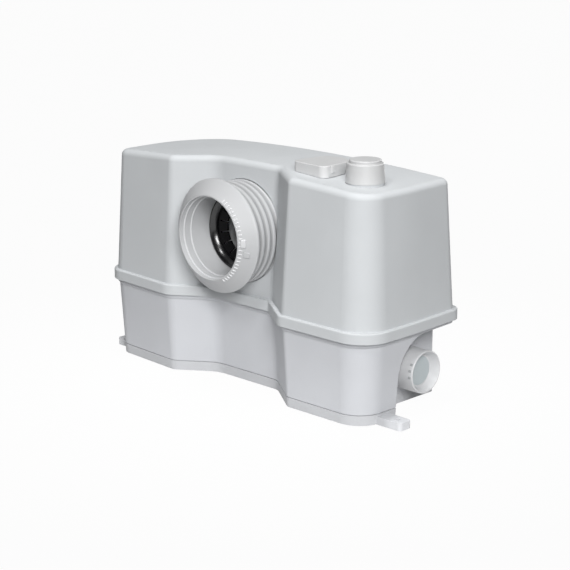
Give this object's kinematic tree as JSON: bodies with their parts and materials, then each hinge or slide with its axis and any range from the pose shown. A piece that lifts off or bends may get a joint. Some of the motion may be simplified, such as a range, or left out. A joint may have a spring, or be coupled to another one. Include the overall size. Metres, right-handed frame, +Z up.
{
  "type": "macerator toilet pump",
  "caption": "Floor-standing macerator pump unit with a recessed front, screw-out toilet inlet collar, side inlet, capped top outlet, vent lid and an internal cutter pump.",
  "frame": {"origin": "middle of the footprint on the floor", "axes": "+X along the length towards the side inlet, -Y towards the toilet, +Z up"},
  "size_m": [0.484, 0.1883, 0.2921],
  "materials": {
    "shell": "fine satin moulded surface",
    "fitting": "smooth white moulding",
    "lid": "satin",
    "blank": "satin grey-green",
    "seal": "glossy black rubber",
    "soft": "matt black rubber",
    "carbon": "porous black",
    "inner": "glass-filled plastic",
    "pipe": "smooth grey pipe",
    "steel": "turned steel",
    "motor": "cast and turned",
    "winding": "laminated core with enamelled windings"
  },
  "bodies": {
    "housing": {"base_plate": "shell", "tank": "shell", "rim_gasket": "soft", "cover": "shell", "inlet_hood": "inner", "side_inlet_spigot": "fitting", "side_blank": "blank", "side_flap_seat": "inner", "side_flap_pin": "steel", "discharge_stub": "pipe", "discharge_valve_body": "inner", "discharge_flap_pin": "steel", "vent_filter": "carbon", "pump_casing": "inner", "pump_dampers": "soft", "cutter_ring": "steel", "stator": "winding", "motor_can": "motor", "motor_top": "motor", "lower_bearing": "steel", "upper_bearing": "steel", "shaft_seal": "soft", "riser_pipe": "pipe", "hose_clamps": "steel", "level_tube": "pipe", "pressure_switch": "inner", "control_box": "inner", "capacitor": "motor", "cable_gland": "inner", "rubber_feet": "soft", "base_screws": "steel"},
    "inlet_slide": {"inlet_sleeve": "fitting", "inlet_lip_seal": "seal"},
    "collar": {"wc_inlet_collar": "fitting"},
    "side_flap": {"side_flap": "soft"},
    "outlet_flap": {"discharge_flap": "soft"},
    "outlet_cap": {"discharge_cap": "lid"},
    "vent_lid": {"hatch_lid": "lid"},
    "rotor": {"rotor_shaft": "steel", "impeller": "inner", "cutter_blade": "steel"},
    "plunger": {"switch_plunger": "fitting"}
  },
  "joints": [
    {"name": "collar_out", "type": "slide", "parent": "housing", "child": "inlet_slide", "axis": [0, -1, 0], "range_m": [-0.0015, 0.012]},
    {"name": "collar_turn", "type": "hinge", "parent": "inlet_slide", "child": "collar", "pos_m": [-0.0086, -0.07, 0.1865], "axis": [0, -1, 0], "range_deg": [-45, 360]},
    {"name": "side_flap_swing", "type": "hinge", "parent": "housing", "child": "side_flap", "pos_m": [0.167, 0.0208, 0.0664], "axis": [0, 1, 0], "range_deg": [0, 55]},
    {"name": "outlet_flap_swing", "type": "hinge", "parent": "housing", "child": "outlet_flap", "pos_m": [0.1682, -0.0104, 0.208], "axis": [-1, 0, 0], "range_deg": [0, 60]},
    {"name": "cap_lift", "type": "slide", "parent": "housing", "child": "outlet_cap", "axis": [0, 0, 1], "range_m": [0, 0.03]},
    {"name": "vent_lid_lift", "type": "slide", "parent": "housing", "child": "vent_lid", "axis": [0, 0, 1], "range_m": [0, 0.025]},
    {"name": "rotor_spin", "type": "hinge", "parent": "housing", "child": "rotor", "pos_m": [-0.14, 0.01, 0.1], "axis": [0, 0, 1], "continuous": true},
    {"name": "plunger_press", "type": "slide", "parent": "housing", "child": "plunger", "axis": [0, 0, -1], "range_m": [0, 0.003], "stiffness_N_per_m": 300, "springref_m": -0.001}
  ],
  "couplings": [
    {"joint": "collar_out", "follows": "collar_turn", "m_per_rad": 0.001432}
  ]
}
